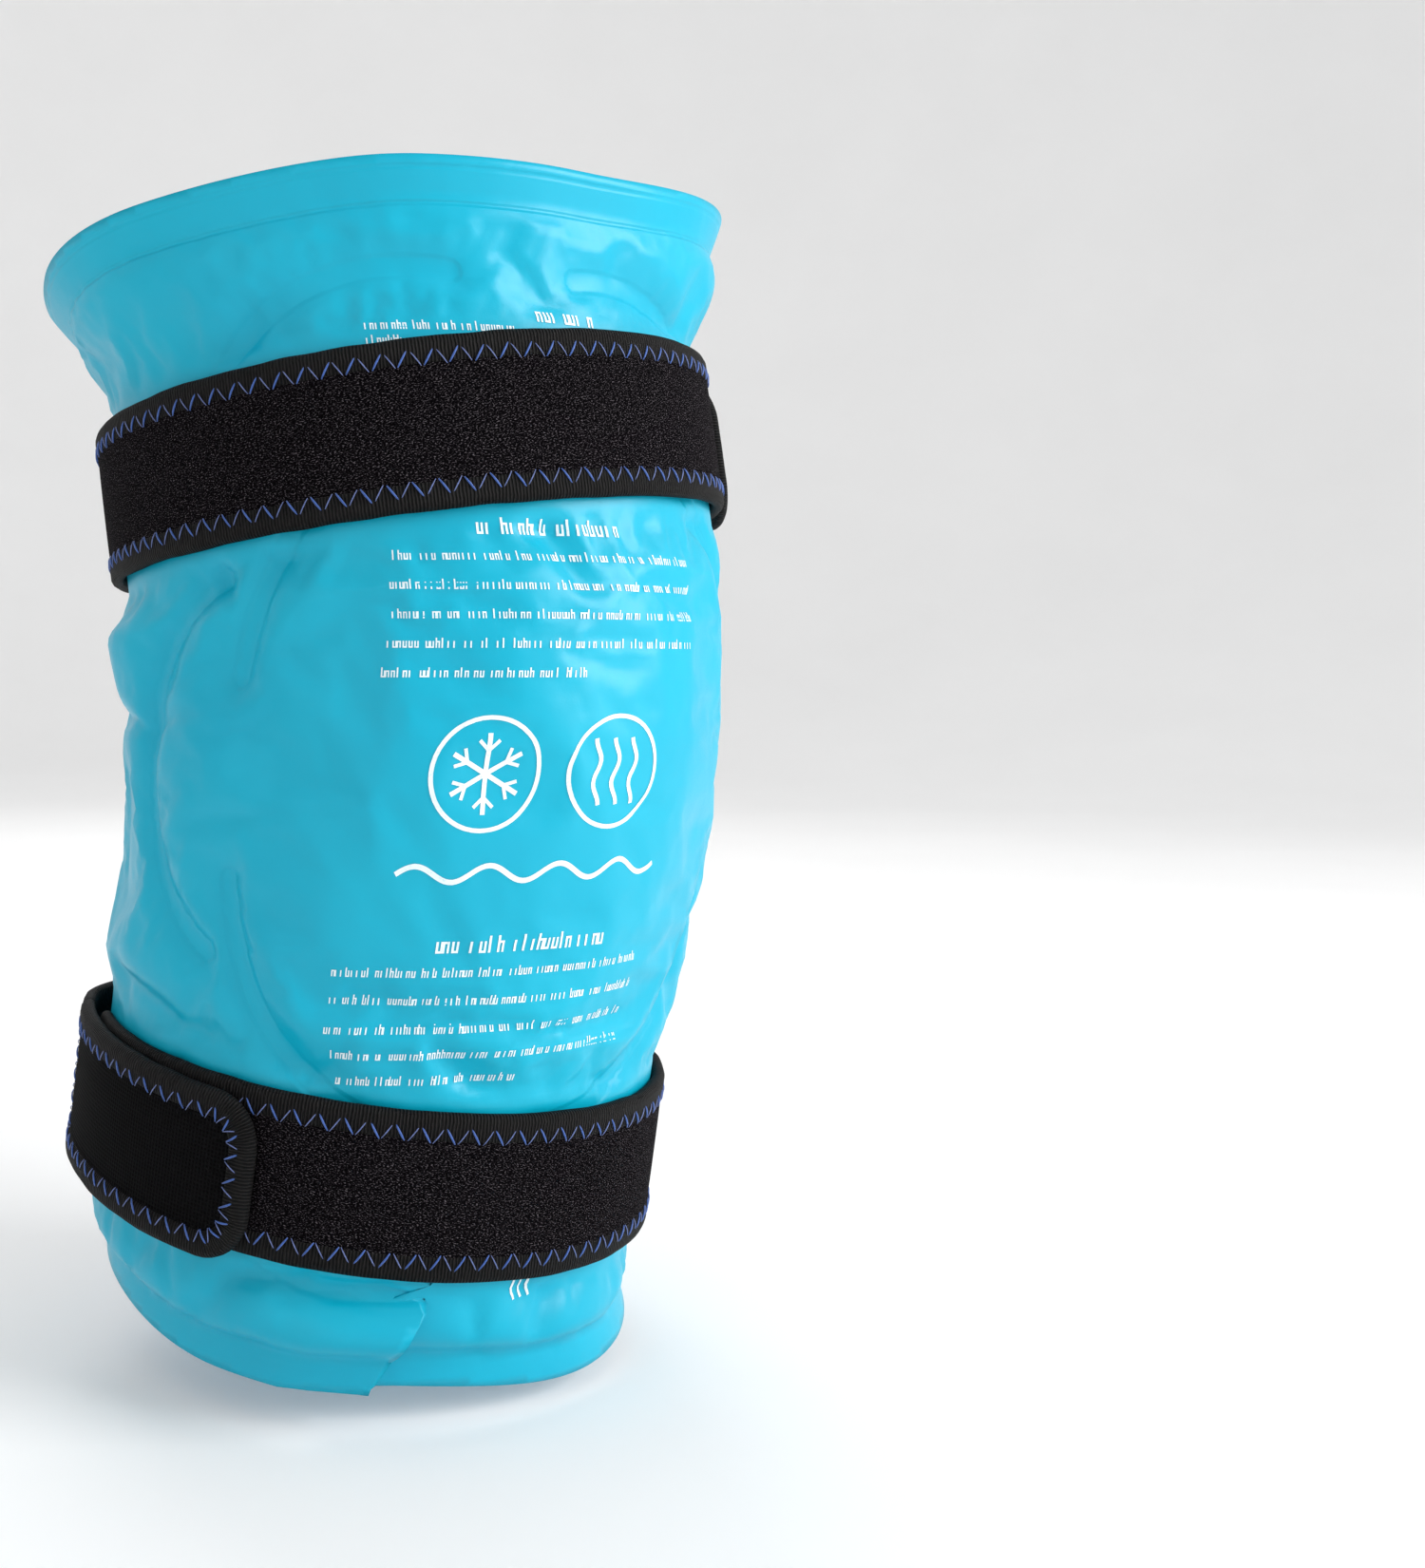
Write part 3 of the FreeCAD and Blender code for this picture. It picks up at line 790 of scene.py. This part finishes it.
def crease_depth(spots):
    depth = np.zeros(len(spots))
    for x1, z1, x2, z2, width, deep in CREASES + small_puckers():
        line = np.array([chart_point(x1, z1), chart_point(x2, z2)])
        way = line[1] - line[0]
        share = np.clip((spots - line[0]) @ way / (way @ way), 0, 1)
        gap = line_distance(spots, line) / (width * (1.1 - 0.5 * share))
        depth = np.maximum(depth, deep * (1 - 0.6 * share) * np.exp(-gap * gap))
    return depth


def film_offset(angle, level):
    """How far the film's outer face stands off the leg."""
    spots = np.column_stack([angle * CHART, level])
    gap = strap_gap(angle, level)
    free = smoothstep(gap / 14)
    full = GEL_HEIGHT + 1.6 * free
    for degrees, height, wide, tall, rise in SWELLINGS:
        x = (spots[:, 0] - math.radians(degrees) * CHART) / wide
        y = (level - height) / tall
        full = full + free * rise * np.exp(-(x * x + y * y))
    full = full + free * 0.7 * soft_noise(spots[:, 0] / 30, level / 38, 5)
    full = full - crease_depth(spots) * smoothstep(gap / 3)
    weld = 1 - pillow(weld_distance(spots), 8.0)
    full = full - WELD_DEPTH * weld * np.where(gap > 0, 1, 0.3)
    top, low, side = edge_distances(angle, level)
    shoulder = 0.6 * pillow(top, 34) + 0.4 * smoothstep(top / 40)
    swell = np.minimum(shoulder, pillow(np.minimum(low, side), 17))
    return FILM_EDGE + (full - FILM_EDGE) * swell


def lining_offset(angle, level):
    """How far the plush face stands off the leg: it swells in with the gel and is pinched at the welds."""
    spots = np.column_stack([angle * CHART, level])
    gap = weld_distance(spots)
    swell = pillow(np.min(edge_distances(angle, level), axis=0), 11.0)
    pucker = soft_noise(spots[:, 0] / 8, level / 8, 21) * np.exp(-np.clip(gap, 0, None) / 11)
    roll = soft_noise(spots[:, 0] / 30, level / 24, 27)
    return 0.3 - 2.0 * swell * pillow(gap, 7.0) - swell * (0.5 * pucker + 0.4 * roll)


PLEAT_TOP = -111
PLEAT_HALF = 13.0
PLEAT_LIFT = 8.0
SKIRT = 70


def from_pleat(angle, level):
    """How far a point lies across the pleat, the pleat's angle and how much of it is folded."""
    depth = smoothstep((PLEAT_TOP - level) / 9)
    edge = np.radians(np.interp(level, [-142, -112], [-24.0, -8.5]))
    line = edge - 7.0 * depth / SKIRT
    return (angle - line) * SKIRT, line, depth


def pleat(angle, level):
    """The fold in the skirt: the new angle, and how far the upper layer lifts."""
    across, line, depth = from_pleat(angle, level)
    share = np.clip(across / PLEAT_HALF, -1, 1)
    moved = across - PLEAT_HALF * depth * np.sin(math.pi * share)
    rise = PLEAT_LIFT * smoothstep((PLEAT_TOP - level) / 18)
    left_side = 1 - smoothstep((across + 5) / 10)
    fading = np.exp(-np.clip(-across - 6, 0, None) / 22)
    return line + moved / SKIRT, rise * left_side * fading


def pleat_gap(angle, level):
    """How far a point lies outside the pleat, zero within it."""
    across, _, _ = from_pleat(angle, level)
    return np.clip(np.maximum(np.abs(across) - (PLEAT_HALF + 5.0), level - PLEAT_TOP), 0, None)


def flare(angle, level):
    """How far the thigh end and the skirt's right half stand out from the leg."""
    degrees = np.degrees(angle)
    left = 13.5 * smoothstep((-degrees - 30) / 62) * smoothstep((level - 88) / 33)
    right = 8.0 * smoothstep((degrees - 8) / 50) * smoothstep((level - 103) / 22)
    seam = 1 - smoothstep((np.abs(degrees) - 106) / 26)
    skirt = 6.0 * np.exp(-(((degrees - 30) / 34) ** 2)) * smoothstep((-116 - level) / 26)
    return (left + right + skirt) * seam


CLOTH_FRAMES = 18
MOST_MOVED = 4.5
PACK_SPACING = 2.1


def pack_points(angle, level, offset):
    turned, lift = pleat(angle, level)
    return on_leg(turned, level, offset + lift + flare(angle, level))


def blown_up(points, faces, held):
    """The film after a cloth run: slightly slack and pressed out by the gel, and held still where told."""
    data = bpy.data.meshes.new("blown_film")
    data.from_pydata((points * MM).tolist(), [], faces.tolist())
    skin = linked("blown_film", data)
    group = skin.vertex_groups.new(name="held")
    for index, weight in enumerate(held.tolist()):
        group.add([index], weight, "REPLACE")
    cloth = skin.modifiers.new("swell", "CLOTH")
    cloth.point_cache.frame_start = 1
    cloth.point_cache.frame_end = CLOTH_FRAMES
    settings = cloth.settings
    settings.quality = 6
    settings.mass = 0.2
    settings.tension_stiffness = settings.compression_stiffness = 30
    settings.shear_stiffness = 12
    settings.bending_stiffness = 1.2
    settings.vertex_group_mass = "held"
    settings.use_pressure = True
    settings.uniform_pressure_force = 1.2
    settings.shrink_min = -0.018
    settings.effector_weights.gravity = 0
    scene = bpy.context.scene
    for frame_number in range(1, CLOTH_FRAMES + 1):
        scene.frame_set(frame_number)
    shaped = skin.evaluated_get(bpy.context.evaluated_depsgraph_get()).to_mesh()
    found = np.empty(len(points) * 3)
    shaped.vertices.foreach_get("co", found)
    bpy.data.objects.remove(skin)
    scene.frame_set(1)
    moved = found.reshape(-1, 3) / MM - points
    length = np.linalg.norm(moved, axis=1)[:, None]
    return points + moved * np.minimum(1, MOST_MOVED / np.maximum(length, 1e-6)) * (1 - held)[:, None]


def build_pack():
    """The film and the plush lining, from one chart of the sheet."""
    holes = [slot_outline(ring, side, radius + FILM_BACK) for ring, radius in RINGS for side in (1, -1)]
    flat, faces = triangulated(pack_outline(), holes, PACK_SPACING)
    angle, level = flat[:, 0] / CHART, flat[:, 1]
    outer = pack_points(angle, level, film_offset(angle, level))
    top, low, side = edge_distances(angle, level)
    weld = weld_distance(flat)
    borders = [top, low, side, strap_gap(angle, level), pleat_gap(angle, level), weld]
    outer = blown_up(outer, faces, 1 - smoothstep(np.min(borders, axis=0) / 4.0))
    middle = pack_points(angle, level, np.full_like(angle, FILM_BACK))
    inner = pack_points(angle, level, lining_offset(angle, level))
    film = closed_sheet("pack_film", faces, outer, middle, FILM)
    lining = closed_sheet("plush_lining", faces, middle, inner, PLUSH)
    measured = {"weld": weld, "inset": np.minimum(top, side)}
    for piece in (film, lining):
        for name, values in measured.items():
            layer_values = piece.data.attributes.new(name, "FLOAT", "POINT")
            layer_values.data.foreach_set("value", np.tile(values, 2))
        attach(piece, "pack")
    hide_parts("outer_shell", "gel_fill")
    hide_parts("inner_lining")
    return film


# ---- the straps


STRAP_HALF = 19.5
STRAP_SPACING = 1.6
CLEAR = 0.3
# From the middle of a strap: its back, the foam's two faces, its front, and how far the tape adds to that.
BACK, FOAM_LOW, FOAM_TOP, FRONT = -1.2, -0.7, 0.5, 1.2
TAPE_ADDS = 0.4
LAP = 3.8
TAB_DROOP = 2.2


class Strap:
    """A strap's run round its ring, and points along, across and above it."""

    def __init__(self, word, ring, radius, thick, start, hinge, end, side):
        self.word, self.ring, self.side = word, ring, side
        outside = radius + thick + CLEAR + FRONT + TAPE_ADDS
        behind = radius - CLEAR - FRONT - TAPE_ADDS - CLEAR
        # Degrees round the ring: in through one slot, behind the knee, out of the other, over the start.
        angles = [start, 123, 133, 227, 237, 246, end]
        reaches = [outside, outside, behind, behind, outside, outside + LAP, outside + LAP]
        fine = np.arange(start - 2, end + 2.01, 0.5)
        reach = softened(np.interp(fine, angles, reaches), 5)
        turn = np.radians(fine)
        line = np.column_stack([side * np.sin(turn) * reach, -np.cos(turn) * reach])
        self.steps = path_steps(line)
        self.line = line
        way = unit(np.gradient(line, self.steps, axis=0))
        self.out = np.column_stack([way[:, 1], -way[:, 0]]) * side
        places = [float(np.interp(a, fine, self.steps)) for a in (start, hinge, end)]
        self.start, self.hinge, self.end = places

    def at(self, along, across, up):
        """Points in the leg's frame, from distances along, across and above the strap in millimetres."""
        spot = along_path(along, self.steps, self.line)
        out = along_path(along, self.steps, self.out)
        sunk = TAB_DROOP * smoothstep((along - self.hinge) / (self.end - self.hinge))
        flat = np.column_stack([spot + out * up[:, None], across - sunk])
        return self.ring[0] + flat @ self.ring[1].T


def ride_on(piece, strap, part):
    """Puts a piece on the strap's body; a piece of the tab only has its place baked into its mesh."""
    if part == "tab":
        zero = np.zeros(2)
        ends = strap.at(np.array([strap.hinge - 0.5, strap.hinge + 6.0]), zero, zero) * MM
        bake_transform(piece)
    else:
        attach(piece, f"{strap.word}_strap")


def layer(strap, name, part, outline, low, high, crown, material):
    """One layer of the strap over a flat outline, between two heights, crowned in the middle."""
    flat, faces = triangulated(outline, [], STRAP_SPACING)
    rise = crown * (1 - np.clip(np.abs(flat[:, 1]) / 16.0, 0, 1) ** 4)
    front = strap.at(flat[:, 0], flat[:, 1], high + rise)
    back = strap.at(flat[:, 0], flat[:, 1], np.full(len(flat), low))
    if strap.side > 0:
        faces = faces[:, ::-1]
    piece = closed_sheet(f"{strap.word}_{name}", faces, front, back, material, flat)
    ride_on(piece, strap, part)
    return piece


def box_outline(start, stop, half):
    return np.array([(start, -half), (stop, -half), (stop, half), (start, half)])


def tab_outline(start, stop, half, corner):
    """A tab seen flat: square at its root, rounded at its free end."""
    turns = np.linspace(0, math.pi / 2, 9)
    top = [(stop - corner + corner * math.sin(t), half - corner + corner * math.cos(t)) for t in turns]
    low = [(x, -y) for x, y in top[::-1]]
    return np.array([(start, half), *top, *low, (start, -half)])


TAPE_WIDTH = 6.3
# The tape's folded section: how far in from the strap's edge, and how far above its middle.
TAPE_SECTION = [
    (TAPE_WIDTH, 1.25), (6.1, 1.55), (5.4, 1.68), (3.4, 1.7), (1.6, 1.68), (0.6, 1.3), (0.1, 0.65),
    (0.0, 0.0), (0.1, -0.65), (0.6, -1.3), (1.6, -1.62), (5.4, -1.62), (6.1, -1.5), (TAPE_WIDTH, -1.2),
]
# The width that the tape's open side takes in its pattern.
TAPE_GAP = 2.5


def binding(strap, name, part, line, inward, crown=0.0):
    """Edge tape swept along a line in the chart; inward is the way to its covered side."""
    steps = path_steps(line)
    wobble = 0.18 * soft_noise(steps / 7.0, steps * 0, 31)
    built = bmesh.new()
    uv = built.loops.layers.uv.new("chart")
    rows = []
    for inset, up in TAPE_SECTION:
        spot = line + inward * (inset + wobble * (inset < 3))[:, None]
        raised_by = crown * math.sin(math.pi * inset / TAPE_WIDTH) if up > 0 else 0.0
        uneven = 0.08 * np.sign(up) * soft_noise(steps / 5.0, steps * 0 + inset, 17)
        lift = np.full(len(line), up + raised_by) + uneven
        rows.append([built.verts.new(tuple(p)) for p in strap.at(spot[:, 0], spot[:, 1], lift) * MM])
    around = path_steps(np.array(TAPE_SECTION))
    around = np.r_[around, around[-1] + TAPE_GAP]
    for r, (first, second) in enumerate(zip(rows, rows[1:] + rows[:1])):
        for i in range(len(line) - 1):
            face = built.faces.new((first[i], first[i + 1], second[i + 1], second[i]))
            for loop, (x, y) in zip(face.loops, ((0, 0), (1, 0), (1, 1), (0, 1))):
                loop[uv].uv = (steps[i + x] * MM, around[r + y] * MM)
    for end in (0, -1):
        built.faces.new([row[end] for row in rows])
    piece = mesh_object(f"{strap.word}_{name}", built, TAPE)
    ride_on(piece, strap, part)
    return piece


def straight(start, stop, across):
    along = np.arange(start, stop + 0.01, 1.2)
    return np.column_stack([along, np.full_like(along, across)])


def free_edge(start, stop, half, corner):
    """The tab's three free edges as one line, with the way in from it."""
    outline = tab_outline(start, stop, half, corner)
    steps = path_steps(outline)
    at = np.linspace(0, steps[-1], int(steps[-1] / 0.9))
    line = along_path(at, steps, outline)
    way = np.gradient(line, at, axis=0)
    way = unit(np.column_stack([softened(way[:, i], 4) for i in (0, 1)]))
    return line, np.column_stack([way[:, 1], -way[:, 0]])


def stitches(strap, name, part, line, inward, raised_by=0.0):
    """Zigzag stitches along a line: bent bars of thread, blue one way and pale and thinner the other."""
    built = bmesh.new()
    steps = path_steps(line)
    half_pitch, near_in, far_in = 2.85, 3.2, 6.7
    rng = random.Random(11)
    for k in range(int(steps[-1] / half_pitch)):
        stretch = np.array([k + 0.12, k + 0.9]) * half_pitch + rng.uniform(-0.12, 0.12)
        insets = np.array([near_in, far_in] if k % 2 else [far_in, near_in]) + rng.uniform(-0.15, 0.15)
        t = np.linspace(0, 1, 5)
        at = stretch[0] + (stretch[1] - stretch[0]) * t
        depth = insets[0] + (insets[1] - insets[0]) * t
        centre = along_path(at, steps, line) + along_path(at, steps, inward) * depth[:, None]
        way = centre[-1] - centre[0]
        cross = np.array([-way[1], way[0]]) / np.linalg.norm(way)
        thick = 0.25 if k % 2 else 0.14
        arch = 1.55 + raised_by + 0.3 * np.sin(math.pi * t) ** 0.5
        rings = []
        for turn in np.linspace(0, 2 * math.pi, 7)[:-1]:
            taper = thick * (0.55 + 0.45 * np.sin(math.pi * t))
            flat = centre + cross * (taper * math.cos(turn))[:, None]
            up = arch + taper * math.sin(turn)
            rings.append([built.verts.new(tuple(p)) for p in strap.at(flat[:, 0], flat[:, 1], up) * MM])
        for first, second in zip(rings, rings[1:] + rings[:1]):
            for i in range(4):
                made = built.faces.new((first[i], first[i + 1], second[i + 1], second[i]))
                made.material_index = 0 if k % 2 else 1
        for end in (0, -1):
            cap = built.faces.new([ring[end] for ring in rings])
            cap.material_index = 0 if k % 2 else 1
    piece = mesh_object(f"{strap.word}_{name}", built, BLUE)
    piece.data.materials.append(PALE)
    ride_on(piece, strap, part)
    return piece


def build_strap(strap):
    word = strap.word
    half = STRAP_HALF
    band = box_outline(strap.start + 0.3, strap.hinge - 0.3, half - 0.6)
    face = layer(strap, "loop_face", "strap", band, FOAM_TOP, FRONT, 0.28, LOOP)
    foam = layer(strap, "foam", "strap", band, FOAM_LOW, FOAM_TOP, 0.0, FOAM)
    back = layer(strap, "back_face", "strap", band, BACK, FOAM_LOW, 0.0, KNIT)
    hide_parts(f"{word}_strap_loop_face")
    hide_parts(f"{word}_strap_foam_core")
    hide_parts(f"{word}_strap_back_face")
    for edge, sign in (("top", 1), ("low", -1)):
        line = straight(strap.start, strap.hinge - 0.2, sign * half)
        inward = np.column_stack([np.zeros(len(line)), np.full(len(line), -float(sign))])
        tape = binding(strap, f"{edge}_tape", "strap", line, inward)
        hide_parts(f"{word}_strap_edge_tape")
        inner = line[(line[:, 0] > strap.start + 2) & (line[:, 0] < strap.hinge - 1)]
        sewn = stitches(strap, f"{edge}_stitches", "strap", inner, inward[: len(inner)])
        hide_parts(f"{word}_strap_thread")
    root = strap.hinge + 0.1
    shape = tab_outline(root, strap.end - 1.0, half - 1.0, 11.0)
    panel = layer(strap, "tab_panel", "tab", shape, -0.5, 1.15, 0.2, WEAVE)
    hooks = layer(strap, "tab_hooks", "tab", shape, -1.35, -0.5, 0.0, HOOKS)
    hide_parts(f"{word}_tab_panel")
    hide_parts(f"{word}_tab_hook_patch")
    line, inward = free_edge(root, strap.end, half, 12.0)
    tape = binding(strap, "tab_tape", "tab", line, inward, crown=0.45)
    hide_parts(f"{word}_tab_edge_tape")
    sewn = stitches(strap, "tab_stitches", "tab", line, inward, raised_by=0.3)
    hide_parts(f"{word}_tab_thread")
    across = np.arange(half - 3.0, -half + 3.0, -1.2)
    seam = np.column_stack([np.full_like(across, root - 1.5), across])
    way = np.column_stack([np.ones(len(seam)), np.zeros(len(seam))])
    stitches(strap, "root_stitches", "tab", seam, way)


# ---- print on the film


PRINT_CENTRE = math.radians(-3.0)
PRINT_RADIUS = 79.0
INK_HEIGHT = 0.12
SYMBOL_X = 16.0
SYMBOL_LEVEL = 2.0
SYMBOL_RADIUS = 12.5
# Each row of ticks: level, where it starts and stops across, and its height.
PRINT_ROWS = [
    (105.5, 4, 22, 2.5),
    (102, -38, 0, 1.5),
    (98.5, -38, 0, 1.5),
    (56.5, -18, 20, 2.6),
    (50, -38, 42, 1.5),
    (43.5, -39, 42, 1.5),
    (37, -39, 42, 1.5),
    (30.5, -40, 42, 1.5),
    (24, -41, 6, 1.5),
    (-36.5, -22, 24, 2.6),
    (-42.5, -46, 38, 1.5),
    (-49, -46, 38, 1.5),
    (-55.5, -46, 38, 1.5),
    (-61.5, -44, 36, 1.5),
    (-67.5, -42, 6, 1.5),
]


def printed(film):
    """Plain white marks where the pack carries its directions: rows of ticks and two simple symbols."""
    bpy.context.view_layer.update()
    tree = BVHTree.FromObject(film, bpy.context.evaluated_depsgraph_get())
    built = bmesh.new()
    rng = random.Random(4)

    def on_film(angle, level):
        out = Vector((math.sin(angle), -math.cos(angle), 0))
        start = Vector(leg_centre(level) * MM) + out * 0.14
        spot, normal, _, _ = tree.ray_cast(start, -out)
        return spot + normal * (INK_HEIGHT * MM)

    def stroke(points, width):
        """A flat line of ink through chart points, in millimetres across and up from the print's middle."""
        points = np.array(points, float)
        steps = path_steps(points)
        at = np.linspace(0, steps[-1], max(2, int(steps[-1] / 0.9) + 1))
        line = along_path(at, steps, points)
        way = unit(np.gradient(line, at, axis=0))
        cross = np.column_stack([-way[:, 1], way[:, 0]]) * width / 2
        sides = []
        for sign in (1, -1):
            spots = line + sign * cross
            sides.append([built.verts.new(on_film(PRINT_CENTRE + x / PRINT_RADIUS, z)) for x, z in spots])
        for i in range(len(line) - 1):
            built.faces.new((sides[0][i], sides[0][i + 1], sides[1][i + 1], sides[1][i]))

    def words(level, start, stop, height):
        """A row of upright ticks in uneven groups, in place of a line of text."""
        x = start
        while x < stop - height:
            for _ in range(rng.randint(2, 8)):
                if x > stop - height:
                    break
                tall = height * rng.choice((1.0, 1.0, 1.0, 1.45))
                low = level - height / 2
                stroke([(x, low), (x, low + tall)], height * 0.22)
                if rng.random() < 0.55:
                    bar = low + height * rng.choice((0.1, 0.9))
                    stroke([(x, bar), (x + height * 0.4, bar)], height * 0.2)
                    stroke([(x + height * 0.42, low), (x + height * 0.42, low + height)], height * 0.2)
                x += height * rng.choice((0.6, 0.85, 0.85))
            x += height * 0.75

    for level, start, stop, height in PRINT_ROWS:
        words(level, start, stop, height)
    turns = np.linspace(0, 2 * math.pi, 41)
    for x in (-SYMBOL_X, SYMBOL_X):
        ring = [x + SYMBOL_RADIUS * np.cos(turns), SYMBOL_LEVEL + SYMBOL_RADIUS * np.sin(turns)]
        stroke(np.column_stack(ring), 1.0)
    snowflake(stroke, -SYMBOL_X, SYMBOL_LEVEL, 9.0)
    waves(stroke, SYMBOL_X, SYMBOL_LEVEL, 7.5, 5.2, 1.1)
    waves(stroke, 14.0, -117.0, 3.6, 2.6, 0.7)
    across = np.linspace(-34, 34, 120)
    stroke(np.column_stack([across, -20 + 1.8 * np.sin(across * math.pi / 8.5)]), 1.2)
    ink = mesh_object("white_print", built, INK)
    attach(ink, "pack")


def snowflake(stroke, cx, cz, reach):
    """Three crossed bars with forked ends, for cold."""
    for turn in range(3):
        a = math.pi / 3 * turn + math.pi / 6
        dx, dz = math.cos(a), math.sin(a)
        stroke([(cx - dx * reach, cz - dz * reach), (cx + dx * reach, cz + dz * reach)], 1.1)
        for sign in (1, -1):
            bx, bz = cx + sign * dx * 5.2, cz + sign * dz * 5.2
            for lean in (0.8, -0.8):
                ex = bx + sign * 3.2 * math.cos(a + lean)
                ez = bz + sign * 3.2 * math.sin(a + lean)
                stroke([(bx, bz), (ex, ez)], 0.8)


def waves(stroke, centre, level, half, gap, width):
    """Three rising wavy lines, for warmth."""
    for k in (-1, 0, 1):
        t = np.linspace(-1, 1, 15)
        x = centre + k * gap + half * 0.13 * np.sin(t * math.pi * 1.5)
        stroke(np.column_stack([x, level + t * half]), width)


# ---- the scene

film = build_pack()
build_strap(Strap("upper", UPPER, UPPER_RADIUS, thick=8.0, start=-107.0, hinge=250.0, end=293.0, side=-1))
build_strap(Strap("lower", LOWER, LOWER_RADIUS, thick=7.5, start=-98.0, hinge=254.0, end=315.0, side=1))
printed(film)

add_camera()
add_stage(floor_material())
add_light("key", (0.95, -1.0, 0.55), 20, 0.9)
add_light("fill", (-1.3, -0.9, 0.4), 1.5, 1.2)
add_light("rim", (0.2, 1.2, 1.0), 6, 0.9)

world = bpy.data.worlds.new("studio_air")
world.use_nodes = True
world.node_tree.nodes["Background"].inputs["Color"].default_value = (1, 1, 1, 1)
world.node_tree.nodes["Background"].inputs["Strength"].default_value = 0.82
bpy.context.scene.world = world
bpy.context.scene.view_settings.view_transform = "Standard"
